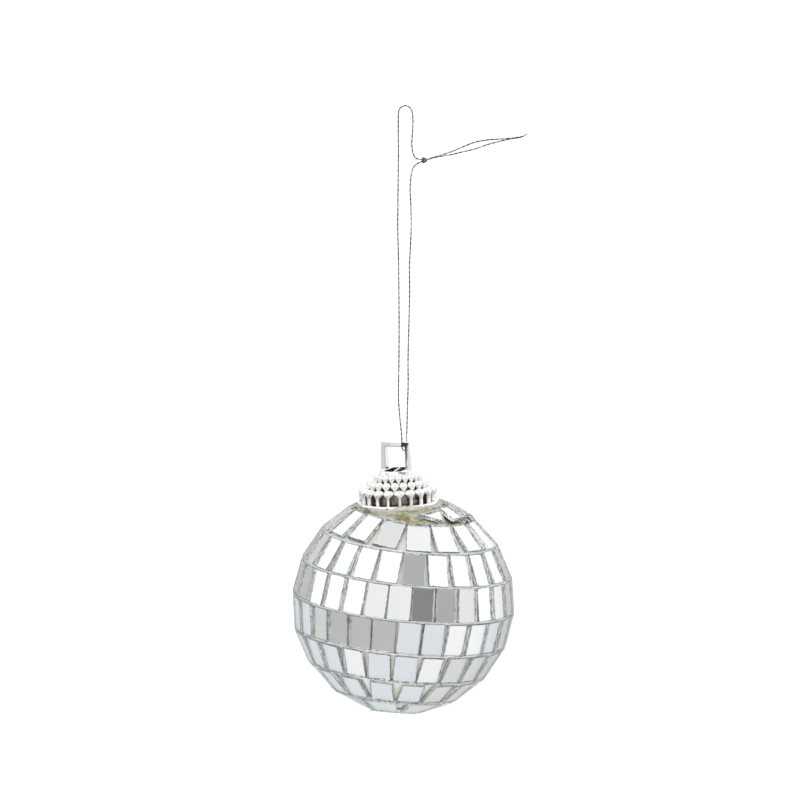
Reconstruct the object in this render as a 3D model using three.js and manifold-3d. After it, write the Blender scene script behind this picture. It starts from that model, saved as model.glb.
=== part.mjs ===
// Mirror ball ornament: a 50 mm foam ball covered with flat mirror tiles, hanging by a loop of
// metallic thread from the square eye of its plated cap.
// Millimetres, +Z up.  The origin is the crown of the thread loop, where a hook or pin holds it.
// The ball hangs plumb below the origin.  Azimuth 0 is the front (-Y) and grows towards +X.

import * as THREE from 'three';
import { mergeVertices } from 'three/addons/utils/BufferGeometryUtils.js';
import Module from 'manifold-3d';

const wasm = await Module();
wasm.setup();

// Driving dimensions
const ballRadius = 25;          // to the outer corners of the tiles
const glassThickness = 1;
const tileWidth = 5.1;
const tileHeight = 7.5;
const tileGap = 0.15;           // least gap between neighbouring tiles of a row
const wedgeWidth = 7.6;         // wide edge of the wedges in the lowest row
const rowPitch = 18.7;          // degrees of latitude from row to row
const equatorShift = 0.6;       // degrees that the middle joint lies above the mosaic's equator
const mosaicLean = 5.5;         // degrees that the mosaic's pole leans to the right of plumb
const joinGap = 0.3;            // gap between layers that rest on each other
const tapeThickness = 0.3;
const tapeHeight = 6.8;
const threadDiameter = 0.35;
const barDepth = 76.6;          // from the crown of the loop down to the bar of the cap's eye

const rimHeight = 22.8;         // cap rim above the ball's centre
const rimRadius = 9;
const barRise = 13.05;          // centre of the eye's bar above the rim
const barThickness = 1.1;
const eyeWidth = 6.83;
const eyeDepth = 1.8;
const legThickness = 1.2;
const eyeYaw = -25;             // degrees: the eye's right leg stands nearer to the front
const threadOffset = 1.7;       // from the middle of the bar to where the thread would hang plumb
const restOffset = 0.22;        // and from there to where friction holds the thread
const bightRadius = 1.3;        // the thread's turn under the bar
const bightRise = 1.7;          // how far the turn's ends stand above the bar's centre
const stemRadius = 2.8;
const stemLength = 7;
const capHollow = 7.1;          // radius of the cap's open underside
const bossRadius = 3.8;
const bossTop = 7.4;            // above the rim
const bossPocket = { radius: 3.45, halfWidth: 2.1, depth: 0.9, ribWidth: 0.5, ribTurn: -12 };
const beadCount = 20;

// Beaded tiers of the cap, from the rim up; the turn in degrees sets where their beads lie
const tiers = [
  { radius: 8.65, scallop: 0.7, low: 0.5, high: 3.4, turn: 3.5 },
  { radius: 7, scallop: 0.6, low: 3, high: 5, turn: -5.5 },
  { radius: 5.4, scallop: 0.5, low: 4.8, high: 6.5, turn: 3.5 },
];

// Rows of tiles from the top: how many, and the azimuth of one joint between two tiles
const rows = [
  { number: 1, count: 16, phase: -5 },
  { number: 2, count: 24, phase: -4 },
  { number: 3, count: 28, phase: 3.4 },
  { number: 4, count: 27, phase: -2.9 },
  { number: 5, count: 23, phase: -4 },
  { number: 6, count: 16, phase: 0.4 },
  { number: 7, count: 8, phase: 9 },
];
const middleRow = 3.5;          // row number at the joint nearest to the equator

const radians = THREE.MathUtils.degToRad;
const halfDiagonal = Math.hypot(tileWidth, tileHeight) / 2;
const frontDistance = Math.sqrt(ballRadius ** 2 - halfDiagonal ** 2);
const backDistance = frontDistance - glassThickness;
const tapeOuter = backDistance - joinGap;
const tapeInner = tapeOuter - tapeThickness;
const coreRadius = tapeInner - joinGap;
const threadRadius = threadDiameter / 2;

// The eye stands off to the left and rear of the plumb line, so that the ball hangs nearly plumb;
// friction on the bar holds it the rest offset away from quite plumb
const yaw = radians(eyeYaw);
const barAcross = new THREE.Vector3(Math.cos(yaw), Math.sin(yaw), 0);
const barOffset = threadOffset + restOffset;
const eyeCentre = barAcross.clone().multiplyScalar(-barOffset).setZ(-barDepth);
const capLength = rimHeight + barRise;
const ballDrop = Math.sqrt(capLength ** 2 - threadOffset ** 2);
const ballCentre = barAcross.clone().multiplyScalar(-restOffset).setZ(-barDepth - ballDrop);
const capAxis = eyeCentre.clone().sub(ballCentre).normalize();
const capTurn = new THREE.Quaternion().setFromUnitVectors(new THREE.Vector3(0, 0, 1), capAxis);
const barDirection = barAcross.clone().applyQuaternion(capTurn);
const bightCentre = eyeCentre.clone().addScaledVector(barDirection, barOffset);

const glass = { color: 0xdfe5e6, roughness: 0.05, metalness: 0.9 };
const silverPlate = { color: 0xd9d9d6, roughness: 0.08, metalness: 1 };
const foamWhite = { color: 0xf4f3ee, roughness: 0.9, metalness: 0 };
const hotMelt = { color: 0xb9ad5c, roughness: 0.3, metalness: 0 };
const tapeCream = { color: 0xe9e2cb, roughness: 0.85, metalness: 0 };
const lame = { color: 0xa9adb0, roughness: 0.35, metalness: 0.9 };

const model = new THREE.Group();
const mosaic = new THREE.Group();
const capSeat = new THREE.Group();
mosaic.position.copy(ballCentre);
mosaic.rotation.y = radians(mosaicLean);
capSeat.position.copy(ballCentre);
capSeat.quaternion.copy(capTurn);
model.add(mosaic, capSeat);

function addMesh(group, name, geometry, finish) {
  const mesh = new THREE.Mesh(geometry, new THREE.MeshStandardMaterial(finish));
  mesh.name = name;
  group.add(mesh);
  return mesh;
}

// Closed geometry to solid, without the collapsed triangles that a pole leaves
function toSolid(geometry) {
  const bare = geometry.clone();
  bare.deleteAttribute('normal');
  bare.deleteAttribute('uv');
  const merged = mergeVertices(bare);
  const index = merged.index.array;
  const kept = [];
  for (let i = 0; i < index.length; i += 3) {
    const [a, b, c] = index.slice(i, i + 3);
    if (a !== b && b !== c && c !== a) {
      kept.push(a, b, c);
    }
  }
  const vertProperties = new Float32Array(merged.attributes.position.array);
  const triVerts = new Uint32Array(kept);
  return new wasm.Manifold(new wasm.Mesh({ numProp: 3, vertProperties, triVerts }));
}

function toGeometry(solid) {
  const mesh = solid.getMesh();
  const geometry = new THREE.BufferGeometry();
  geometry.setAttribute('position', new THREE.BufferAttribute(mesh.vertProperties, 3));
  geometry.setIndex(new THREE.BufferAttribute(mesh.triVerts, 1));
  return geometry;
}

// Profile [radius, height], anticlockwise, turned round +Z
function turned(profile, segments, start = 0) {
  const points = profile.map(([radius, height]) => new THREE.Vector2(radius, height));
  return new THREE.LatheGeometry(points, segments, start).rotateX(Math.PI / 2);
}

function disc(radius, low, high, segments) {
  return turned([[0, low], [radius, low], [radius, high], [0, high]], segments);
}

// --- mirror tiles and their backing ---

function latitudeOf(row) {
  return radians(equatorShift + rowPitch * (middleRow - row.number));
}

// Distance from the mosaic's axis, and height, of a point on a tile's plane
function planePoint(latitude, distance, up) {
  return [
    distance * Math.cos(latitude) - up * Math.sin(latitude),
    distance * Math.sin(latitude) + up * Math.cos(latitude),
  ];
}

function widthIn(row) {
  const poleward = Math.sign(latitudeOf(row)) * tileHeight / 2;
  const [radius] = planePoint(latitudeOf(row), backDistance, poleward);
  const room = 2 * radius * Math.tan(Math.PI / row.count);
  return Math.min(tileWidth, room - tileGap);
}

// A flat slab of glass facing -Y with its back at the mirror's depth, cut to corners [across, up]
function slabGeometry(corners) {
  const outline = new THREE.Shape(corners.map(([across, up]) => new THREE.Vector2(across, up)));
  const slab = new THREE.ExtrudeGeometry(outline, { depth: glassThickness, bevelEnabled: false });
  return slab.rotateX(Math.PI / 2).translate(0, -backDistance, 0);
}

// A tile cut to a trapezium
function tileGeometry(topWidth, bottomWidth, height) {
  return slabGeometry([
    [-bottomWidth / 2, -height / 2],
    [bottomWidth / 2, -height / 2],
    [topWidth / 2, height / 2],
    [-topWidth / 2, height / 2],
  ]);
}

function placeTile(mesh, latitude, azimuth) {
  mesh.rotation.set(-latitude, 0, azimuth, 'ZXY');
}

function azimuthOf(row, place) {
  return radians(row.phase) + 2 * Math.PI * (place + 0.5) / row.count;
}

// Closed profile of a flat band behind a row of tiles, between two depths
function bandProfile(row, inner, outer, height) {
  const latitude = latitudeOf(row);
  const corners = [
    planePoint(latitude, inner, -height / 2),
    planePoint(latitude, outer, -height / 2),
    planePoint(latitude, outer, height / 2),
    planePoint(latitude, inner, height / 2),
  ];
  return [...corners, corners[0]];
}

function backingTape(row) {
  const band = bandProfile(row, tapeInner, tapeOuter, tapeHeight);
  addMesh(mosaic, `backing_tape_${row.number}`, turned(band, 32), tapeCream);
}

// A band of cement that fills the gaps between the tiles of a row near their backs
function cementBand(row) {
  const inner = backDistance + 0.1;
  const outer = backDistance + 0.45;
  const height = tileHeight - 1.5;
  const stretch = 1 / Math.cos(Math.PI / row.count);
  const profile = bandProfile(row, inner, outer, height);
  const corners = profile.map(([radius, level]) => [radius * stretch, level]);
  return toSolid(turned(corners, row.count, radians(row.phase)));
}

// The tiles of a whole row, joined edge to edge by the cement between them
function tileRow(row) {
  let solid = cementBand(row);
  for (let place = 0; place < row.count; place += 1) {
    const tile = tileGeometry(widthIn(row), widthIn(row), tileHeight);
    tile.rotateX(-latitudeOf(row)).rotateZ(azimuthOf(row, place));
    solid = solid.add(toSolid(tile));
  }
  addMesh(mosaic, `mirror_row_${row.number}`, toGeometry(solid), glass);
}

// The top and bottom rows are laid tile by tile; the bottom ones are cut to wedges
function looseTiles(row, equatorwardWidth) {
  for (let place = 0; place < row.count; place += 1) {
    const name = `mirror_tile_${row.number}_${String(place + 1).padStart(2, '0')}`;
    const upper = latitudeOf(row) > 0 ? widthIn(row) : equatorwardWidth;
    const lower = latitudeOf(row) > 0 ? equatorwardWidth : widthIn(row);
    const mesh = addMesh(mosaic, name, tileGeometry(upper, lower, tileHeight), glass);
    placeTile(mesh, latitudeOf(row), azimuthOf(row, place));
  }
}

// Offcuts fill the wider side of the ring between the top row and the cap
function capOffcuts() {
  const latitude = radians(66);
  const width = 4.5;
  const height = 4.8;
  [59, 93, 127].forEach((azimuth, place) => {
    const slab = tileGeometry(width, width, height);
    const mesh = addMesh(mosaic, `cap_offcut_${place + 1}`, slab, glass);
    placeTile(mesh, latitude, radians(azimuth));
  });
}

// Two triangular chips beside the offcuts, one the mirror image of the other
function capChips() {
  const latitude = radians(62.5);
  const front = [[-3.3, 1.1], [2.3, -1.3], [2.9, 3.1]];
  const back = front.map(([across, up]) => [-across, up]).reverse();
  [['front', front, 24], ['back', back, 162]].forEach(([side, corners, azimuth]) => {
    const mesh = addMesh(mosaic, `cap_chip_${side}`, slabGeometry(corners), glass);
    placeTile(mesh, latitude, radians(azimuth));
  });
}

// Two tiles side by side close the bottom of the ball
function poleTiles() {
  const width = 5;
  const length = 7;
  for (const side of [-1, 1]) {
    const slab = tileGeometry(width, width, length).translate(side * (width + joinGap) / 2, 0, 0);
    const name = side < 0 ? 'pole_tile_left' : 'pole_tile_right';
    placeTile(addMesh(mosaic, name, slab, glass), -Math.PI / 2, 0);
  }
}

// --- foam core and glue ---

function foamCore() {
  const ball = toSolid(new THREE.SphereGeometry(coreRadius, 32, 16).rotateX(Math.PI / 2));
  const socketFloor = rimHeight - stemLength - joinGap;
  const socket = toSolid(disc(stemRadius + joinGap, socketFloor, ballRadius, 24));
  addMesh(capSeat, 'foam_core', toGeometry(ball.subtract(socket)), foamWhite);
}

// Points of the sphere at a radius, from one distance off the axis to another
function sphereArc(radius, from, to, steps) {
  const points = [];
  for (let step = 0; step <= steps; step += 1) {
    const offAxis = from + (to - from) * step / steps;
    points.push([offAxis, Math.sqrt(radius ** 2 - offAxis ** 2)]);
  }
  return points;
}

// Hot-melt glue: a collar round the cap's stem that bulges out under the rim, and a thin skirt
// of it smeared over the foam as far as the top row of tiles
function glueCollar() {
  const hole = stemRadius + joinGap;
  const insideCap = capHollow - 0.5;
  const insideTop = rimHeight + 1.8;
  const bulge = 9.8;
  const underRim = rimHeight - joinGap;
  const skin = coreRadius + joinGap;
  const collarProfile = [
    ...sphereArc(skin, hole, bulge, 5),
    [bulge, underRim - 1],
    [bulge - 0.4, underRim],
    [insideCap, underRim],
    [insideCap, insideTop],
    [hole, insideTop],
  ];
  const collar = toSolid(turned([...collarProfile, collarProfile[0]], 24));
  const skirtEdge = 12.4;
  const skirtTop = backDistance - joinGap;
  const skirtProfile = [
    ...sphereArc(skin, hole + 2, skirtEdge, 5),
    ...sphereArc(skirtTop, hole + 2, skirtEdge, 5).reverse(),
  ];
  const skirt = toSolid(turned([...skirtProfile, skirtProfile[0]], 24));
  const toCap = new THREE.Matrix4().makeRotationFromQuaternion(capTurn).invert();
  const lean = new THREE.Matrix4().makeRotationY(radians(mosaicLean));
  const placed = skirt.transform(toCap.multiply(lean).elements);
  const passage = toSolid(disc(hole, 0, ballRadius, 24));
  addMesh(capSeat, 'glue_collar', toGeometry(collar.add(placed).subtract(passage)), hotMelt);
}

// --- cap ---

// A beaded tier: a disc whose edge is scalloped into round lobes
function beadedTier({ radius: outerRadius, scallop, low, high, turn }) {
  const stepsPerLobe = 4;
  const outline = new THREE.Shape();
  for (let step = 0; step < beadCount * stepsPerLobe; step += 1) {
    const angle = 2 * Math.PI * step / (beadCount * stepsPerLobe);
    const lobe = Math.abs(Math.cos(angle * beadCount / 2));
    const radius = outerRadius - scallop * (1 - lobe);
    const point = [radius * Math.cos(angle), radius * Math.sin(angle)];
    if (step === 0) {
      outline.moveTo(...point);
    } else {
      outline.lineTo(...point);
    }
  }
  const tier = new THREE.ExtrudeGeometry(outline, { depth: high - low, bevelEnabled: false });
  return toSolid(tier.rotateZ(radians(turn)).translate(0, 0, low));
}

// The square eye, with chamfered edges, rooted in the cap's boss
function squareEye() {
  const chamfer = 0.3;
  const windowFoot = bossTop - bossPocket.depth - 0.05;
  const foot = windowFoot - 0.6;
  const top = barRise + barThickness / 2;
  const spread = 0.35;
  const half = eyeWidth / 2;
  const outline = new THREE.Shape([
    new THREE.Vector2(-half - spread + chamfer, foot),
    new THREE.Vector2(half + spread - chamfer, foot),
    new THREE.Vector2(half - chamfer, top - chamfer),
    new THREE.Vector2(-half + chamfer, top - chamfer),
  ]);
  const inner = half - legThickness + chamfer;
  outline.holes.push(new THREE.Path([
    new THREE.Vector2(-inner, windowFoot - chamfer),
    new THREE.Vector2(-inner, top - barThickness + chamfer),
    new THREE.Vector2(inner, top - barThickness + chamfer),
    new THREE.Vector2(inner, windowFoot - chamfer),
  ]));
  const frame = new THREE.ExtrudeGeometry(outline, {
    depth: eyeDepth - 2 * chamfer,
    bevelThickness: chamfer,
    bevelSize: chamfer,
    bevelSegments: 1,
  });
  frame.translate(0, 0, chamfer - eyeDepth / 2).rotateX(Math.PI / 2).rotateZ(yaw);
  return toSolid(frame);
}

// The hollow in the top of the boss, halved by a rib across it
function sunkBoss() {
  const { radius, halfWidth, depth, ribWidth, ribTurn } = bossPocket;
  const bossFoot = tiers[2].low + 1;
  const between = new THREE.BoxGeometry(2 * halfWidth, 2 * radius, 4 * depth);
  between.rotateZ(yaw).translate(0, 0, bossTop);
  const hollow = toSolid(disc(radius, bossTop - depth, bossTop + 1, 32)).intersect(toSolid(between));
  const rib = new THREE.BoxGeometry(ribWidth, 2 * radius + 0.2, depth);
  rib.rotateZ(radians(ribTurn)).translate(0, 0, bossTop - 0.1 - depth / 2);
  return toSolid(disc(bossRadius, bossFoot, bossTop, 32)).subtract(hollow).add(toSolid(rib));
}

// One plated moulding: rim, three beaded tiers, boss, eye and the stem that enters the foam
function cap() {
  const rimHigh = 0.9;
  const hollowDepth = 2.2;
  const stemRoot = hollowDepth + 0.4;
  const stemTaper = 0.8;
  let solid = toSolid(disc(rimRadius, 0, rimHigh, 40));
  for (const tier of tiers) {
    solid = solid.add(beadedTier(tier));
  }
  const stem = toSolid(turned([
    [0, -stemLength],
    [stemRadius - stemTaper, -stemLength],
    [stemRadius, -stemLength + 2],
    [stemRadius, stemRoot],
    [0, stemRoot],
  ], 24));
  solid = solid
    .add(sunkBoss())
    .subtract(toSolid(disc(capHollow, -1, hollowDepth, 32)))
    .add(stem)
    .add(squareEye());
  addMesh(capSeat, 'cap', toGeometry(solid).translate(0, 0, rimHeight), silverPlate);
}

// --- thread ---

// Eight-sided tube along a curve
function threadTube(name, curve, steps) {
  const section = new THREE.Shape();
  section.absarc(0, 0, threadRadius, 0, 2 * Math.PI);
  const tube = new THREE.ExtrudeGeometry(section, {
    steps,
    curveSegments: 4,
    bevelEnabled: false,
    extrudePath: curve,
  });
  addMesh(model, name, tube, lame);
}

function curveThrough(points) {
  return new THREE.CatmullRomCurve3(points.map((point) => new THREE.Vector3(...point)));
}

// Up from the front end of the turn, over the crown and down to the knot
const frontRoute = [
  [-0.55, -1.18, -74.6], [-0.75, -1.12, -72.5], [-1.05, -1.05, -69.5], [-1.3, -0.95, -65],
  [-1.2, -0.9, -58], [-1.15, -0.8, -50], [-1.2, -0.7, -42], [-1.3, -0.6, -34],
  [-1.45, -0.5, -28], [-1.4, -0.35, -20], [-1.3, -0.2, -11], [-1.35, -0.05, -5],
  [-1.25, 0, -1.4], [-0.75, 0, -0.4], [0.25, 0, 0], [1.2, 0, -0.4],
  [1.75, 0, -1.4], [1.93, 0, -3.3], [1.85, 0, -5.7], [1.68, -0.05, -8.6],
  [1.95, -0.1, -10.7], [2.6, -0.12, -11.8], [3.5, -0.12, -12.05],
];
// Up from the rear end of the turn to the knot
const backRoute = [
  [0.55, 1.18, -74.6], [0.62, 1.15, -72], [0.72, 1.1, -68], [0.87, 1, -63],
  [0.85, 0.95, -57], [1.05, 0.85, -49], [1.2, 0.75, -42], [1.15, 0.65, -37],
  [1.3, 0.55, -33], [1.5, 0.45, -29], [1.55, 0.4, -26], [1.45, 0.35, -22],
  [1.3, 0.3, -19], [1.5, 0.25, -16], [1.95, 0.2, -14.1], [2.75, 0.15, -13.15],
  [3.6, 0.12, -12.75],
];
const upperTailRoute = [
  [5.35, -0.33, -12], [6.4, -0.33, -11.6], [8.1, -0.33, -11.1], [10.5, -0.3, -10.3],
  [12.75, -0.3, -9.35], [15.5, -0.3, -8.25], [18.2, -0.3, -7.7], [21.4, -0.33, -7.45],
  [24.2, -0.33, -7.2], [26.2, -0.33, -6.9], [27.3, -0.33, -6.3],
];
const lowerTailRoute = [
  [5.35, 0.33, -12.15], [6.4, 0.33, -11.8], [8.15, 0.33, -11.45], [10.5, 0.3, -11.05],
  [12.75, 0.3, -10.5], [15.7, 0.3, -9.8], [18.2, 0.3, -8.9], [22.1, 0.33, -7.85],
  [24.2, 0.33, -7.45], [26, 0.33, -7.15],
];

// The turn of thread under the bar, square to it
function bightCurve() {
  const across = new THREE.Vector3(-Math.sin(yaw), Math.cos(yaw), 0);
  const points = [];
  const place = (side, up) => {
    points.push(bightCentre.clone().addScaledVector(across, side).setZ(bightCentre.z + up));
  };
  place(-bightRadius, bightRise);
  place(-bightRadius, bightRise / 2);
  for (let turn = 0; turn <= 180; turn += 30) {
    const angle = radians(turn);
    place(-bightRadius * Math.cos(angle), -bightRadius * Math.sin(angle));
  }
  place(bightRadius, bightRise / 2);
  place(bightRadius, bightRise);
  return new THREE.CatmullRomCurve3(points);
}

function knot() {
  const centre = new THREE.Vector3(4.44, 0, -12.26);
  const radius = 0.65;
  const mesh = addMesh(model, 'thread_knot', new THREE.SphereGeometry(radius, 12, 8), lame);
  mesh.position.copy(centre);
}

function thread() {
  threadTube('thread_front_strand', curveThrough(frontRoute), 34);
  threadTube('thread_back_strand', curveThrough(backRoute), 22);
  threadTube('thread_bight', bightCurve(), 12);
  threadTube('thread_tail_upper', curveThrough(upperTailRoute), 10);
  threadTube('thread_tail_lower', curveThrough(lowerTailRoute), 9);
  knot();
}

thread();
cap();
glueCollar();
foamCore();
rows.forEach(backingTape);
rows.slice(1, -1).forEach(tileRow);
looseTiles(rows[0], tileWidth);
looseTiles(rows[rows.length - 1], wedgeWidth);
capOffcuts();
capChips();
poleTiles();

export default model;
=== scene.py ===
import math
import random

import bmesh
import bpy
from mathutils import Matrix, Vector, noise as field


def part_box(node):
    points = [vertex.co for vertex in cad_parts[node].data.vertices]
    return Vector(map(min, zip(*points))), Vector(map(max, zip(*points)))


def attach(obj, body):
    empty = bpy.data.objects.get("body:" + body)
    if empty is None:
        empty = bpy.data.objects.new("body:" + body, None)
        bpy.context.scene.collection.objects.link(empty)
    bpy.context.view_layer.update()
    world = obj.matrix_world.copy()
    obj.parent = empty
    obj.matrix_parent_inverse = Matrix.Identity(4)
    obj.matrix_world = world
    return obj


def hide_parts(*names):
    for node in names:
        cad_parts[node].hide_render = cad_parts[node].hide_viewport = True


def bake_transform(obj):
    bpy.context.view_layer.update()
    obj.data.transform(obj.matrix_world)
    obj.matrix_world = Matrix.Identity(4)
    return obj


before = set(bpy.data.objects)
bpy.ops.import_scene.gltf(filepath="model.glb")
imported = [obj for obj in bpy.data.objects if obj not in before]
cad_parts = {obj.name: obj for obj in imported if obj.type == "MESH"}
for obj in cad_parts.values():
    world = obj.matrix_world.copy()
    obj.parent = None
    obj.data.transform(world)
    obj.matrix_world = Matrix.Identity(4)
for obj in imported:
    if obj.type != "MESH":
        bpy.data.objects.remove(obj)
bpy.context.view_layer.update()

MM = 0.001

# --- driving dimensions, in millimetres and degrees ---

GLASS_THICKNESS = 1.0
FRONT_DISTANCE = 24.586       # ball centre to a tile's front face
BACK_DISTANCE = FRONT_DISTANCE - GLASS_THICKNESS
TILE_WIDTH = 5.1
TILE_HEIGHT = 7.5
TILE_GAP = 0.15
TOP_TILE_FOOT = 5.7           # width of a top-row tile at its lower edge
BOTTOM_TILE_HEAD = 7.6        # width of a bottom-row tile at its upper edge
ROW_PITCH = 18.7
EQUATOR_SHIFT = 0.6
MOSAIC_LEAN = 5.5
MIDDLE_ROW = 3.5
# row number: how many tiles, and the azimuth of one joint between two tiles
ROWS = {
    1: (16, -5.0), 2: (24, -4.0), 3: (28, 3.4), 4: (27, -2.9),
    5: (23, -4.0), 6: (16, 0.4), 7: (8, 9.0),
}
LAST_ROW = 7
OFFCUT_AZIMUTHS = (59, 93, 127)
OFFCUT_LATITUDE = 66.0
CHIP_LATITUDE = 62.5

EDGE_STEP = 0.3               # between two points of a snapped edge
EDGE_BOW = 0.05               # most that an edge bows in or out
EDGE_ROUGHNESS = 0.018
BITE_DEPTH = 0.09
BITE_CHANCE = 0.12            # of a bite at any one point
CORNER_CUT = (0.12, 0.5)      # how far along the edge a chipped corner reaches
SLAB_LEAN = 0.1               # how far the back of a tile may lie off its front

CAP_RIM_HEIGHT = 22.8         # above the ball's centre, along the cap's axis
CAP_SHIFT = -0.15             # sideways, as it was glued
CAP_AXIS = Vector((-0.04298, 0.02004, 0.99888))
EYE_YAW = -25.0
BEAD_COUNT = 20
BOSS_TOP = 7.4
POCKET_RADIUS = 3.45
POCKET_HALF_WIDTH = 2.1
POCKET_DEPTH = 0.9
POCKET_RIB_WIDTH = 0.5
POCKET_RIB_TURN = -12.0
EYE_HALF_WIDTH = 3.52         # at its top
EYE_SPREAD = 0.42             # how much further out each foot stands
EYE_TOP = 13.8
EYE_DEPTH = 1.8
WINDOW_HALF_WIDTH = 2.37
WINDOW_TOP = 12.6
EYE_DOME = 0.031              # how far the eye's face falls back, in mm, per square mm from its middle
# bead radius, ring radius, height above the rim, height of the ledge below, turn
TIERS = [
    (0.79, 4.61, 5.92, 4.9, 3.5),
    (0.99, 6.01, 4.31, 3.3, -5.5),
    (1.24, 7.6, 2.85, 0.3, 2.7),
]

THREAD_DIAMETER = 0.34
THREAD_LAY = 2.2              # length of one full twist of the plies
KNOT_LAY = 1.9
BAR_TURN = 1.3                # radius of the thread's middle where it turns under the bar

random.seed(50)

core_low, core_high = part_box("foam_core")
core_radius = (core_high[0] - core_low[0]) / 2
ball_centre = Vector(((core_low[0] + core_high[0]) / 2, (core_low[1] + core_high[1]) / 2,
                      core_low[2] + core_radius))
bight_low, bight_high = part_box("thread_bight")
bar_height = bight_low[2] + (BAR_TURN + THREAD_DIAMETER / 2) * MM

mosaic_frame = Matrix.Translation(ball_centre) @ Matrix.Rotation(math.radians(MOSAIC_LEAN), 4, "Y")
cap_turn = Vector((0, 0, 1)).rotation_difference(CAP_AXIS.normalized()).to_matrix().to_4x4()
cap_place = Matrix.Translation((CAP_SHIFT * MM, 0, CAP_RIM_HEIGHT * MM))
cap_frame = Matrix.Translation(ball_centre) @ cap_turn @ cap_place


# --- camera ---

def make_camera():
    elevation = math.radians(9.6)
    distance = 3.0
    frame_width = 0.1786
    target = Vector((-0.00095, 0, -0.0664))
    data = bpy.data.cameras.new("camera")
    data.sensor_width = 36
    data.lens = data.sensor_width * distance / frame_width
    data.clip_end = 20
    camera = bpy.data.objects.new("camera", data)
    bpy.context.scene.collection.objects.link(camera)
    back = Vector((0, -math.cos(elevation), math.sin(elevation)))
    camera.location = target + back * distance
    camera.rotation_euler = (math.pi / 2 - elevation, 0, 0)
    bpy.context.scene.camera = camera


# --- mesh helpers ---

def new_object(name, mesh, materials=()):
    obj = bpy.data.objects.new(name, mesh)
    bpy.context.scene.collection.objects.link(obj)
    for material in materials:
        mesh.materials.append(material)
    return obj


def mesh_from(name, verts, faces):
    mesh = bpy.data.meshes.new(name)
    mesh.from_pydata([tuple(v) for v in verts], [], faces)
    mesh.validate()
    mesh.update()
    return mesh


def finished(name, bm):
    """The mesh of a bmesh that is done with."""
    mesh = bpy.data.meshes.new(name)
    bm.to_mesh(mesh)
    bm.free()
    return mesh


def shade_by_angle(mesh, limit_degrees):
    """Smooth faces, with a hard edge wherever two faces meet at more than the limit."""
    limit = math.radians(limit_degrees)
    bm = bmesh.new()
    bm.from_mesh(mesh)
    for face in bm.faces:
        face.smooth = True
    for edge in bm.edges:
        edge.smooth = len(edge.link_faces) == 2 and edge.calc_face_angle() < limit
    bm.to_mesh(mesh)
    bm.free()


def turned_mesh(name, profile, segments):
    """A closed profile of (radius, height) in millimetres turned round Z."""
    bm = bmesh.new()
    rings = []
    for radius, height in profile:
        if radius < 1e-6:
            rings.append([bm.verts.new((0, 0, height * MM))])
            continue
        ring = []
        for i in range(segments):
            angle = 2 * math.pi * i / segments
            x, y = radius * math.cos(angle), radius * math.sin(angle)
            ring.append(bm.verts.new((x * MM, y * MM, height * MM)))
        rings.append(ring)
    closed = len(rings[0]) > 1
    pairs = list(zip(rings, rings[1:] + rings[:1])) if closed else list(zip(rings, rings[1:]))
    for low, high in pairs:
        for i in range(segments):
            j = (i + 1) % segments
            if len(low) == 1:
                bm.faces.new((low[0], high[j], high[i]))
            elif len(high) == 1:
                bm.faces.new((low[i], low[j], high[0]))
            else:
                bm.faces.new((low[i], low[j], high[j], high[i]))
    bmesh.ops.recalc_face_normals(bm, faces=bm.faces)
    return finished(name, bm)


def arc(centre, radius, start, end, steps):
    """Points of a profile along an arc, in degrees from the outward direction."""
    points = []
    for i in range(steps + 1):
        angle = math.radians(start + (end - start) * i / steps)
        points.append((centre[0] + radius * math.cos(angle), centre[1] + radius * math.sin(angle)))
    return points


def smooth_step(value):
    value = min(1.0, max(0.0, value))
    return value * value * (3 - 2 * value)


def keep_flats(obj):
    """Bends the shading only on the small faces of an edge, so that the large faces stay flat."""
    modifier = obj.modifiers.new("flats", "WEIGHTED_NORMAL")
    modifier.keep_sharp = True
    depsgraph = bpy.context.evaluated_depsgraph_get()
    mesh = bpy.data.meshes.new_from_object(obj.evaluated_get(depsgraph))
    obj.modifiers.clear()
    obj.data = mesh


def boolean(obj, other, operation):
    """Joins or cuts obj with other and keeps the result as obj's mesh."""
    modifier = obj.modifiers.new("boolean", "BOOLEAN")
    modifier.operation = operation
    modifier.solver = "MANIFOLD"
    modifier.object = other
    depsgraph = bpy.context.evaluated_depsgraph_get()
    result = bpy.data.meshes.new_from_object(obj.evaluated_get(depsgraph))
    obj.modifiers.clear()
    obj.data = result
    bpy.data.objects.remove(other)


# --- materials ---

def principled(name, **values):
    material = bpy.data.materials.new(name)
    material.use_nodes = True
    shader = material.node_tree.nodes["Principled BSDF"]
    for key, value in values.items():
        shader.inputs[key.replace("_", " ")].default_value = value
    return material, material.node_tree, shader


def noise(tree, scale, detail=3.0, roughness=0.55, stretch=None):
    """A noise texture on the piece's own coordinates."""
    place = tree.nodes.new("ShaderNodeTexCoord")
    texture = tree.nodes.new("ShaderNodeTexNoise")
    texture.inputs["Scale"].default_value = scale
    texture.inputs["Detail"].default_value = detail
    texture.inputs["Roughness"].default_value = roughness
    if stretch:
        mapping = tree.nodes.new("ShaderNodeMapping")
        mapping.inputs["Scale"].default_value = stretch
        tree.links.new(place.outputs["Object"], mapping.inputs["Vector"])
        tree.links.new(mapping.outputs["Vector"], texture.inputs["Vector"])
    else:
        tree.links.new(place.outputs["Object"], texture.inputs["Vector"])
    return texture


def ramp(tree, source, stops):
    node = tree.nodes.new("ShaderNodeValToRGB")
    while len(node.color_ramp.elements) < len(stops):
        node.color_ramp.elements.new(0.5)
    for element, (position, colour) in zip(node.color_ramp.elements, stops):
        element.position = position
        element.color = colour if len(colour) == 4 else (*colour, 1)
    tree.links.new(source, node.inputs["Fac"])
    return node


def grey(value):
    return (value, value, value)


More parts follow.
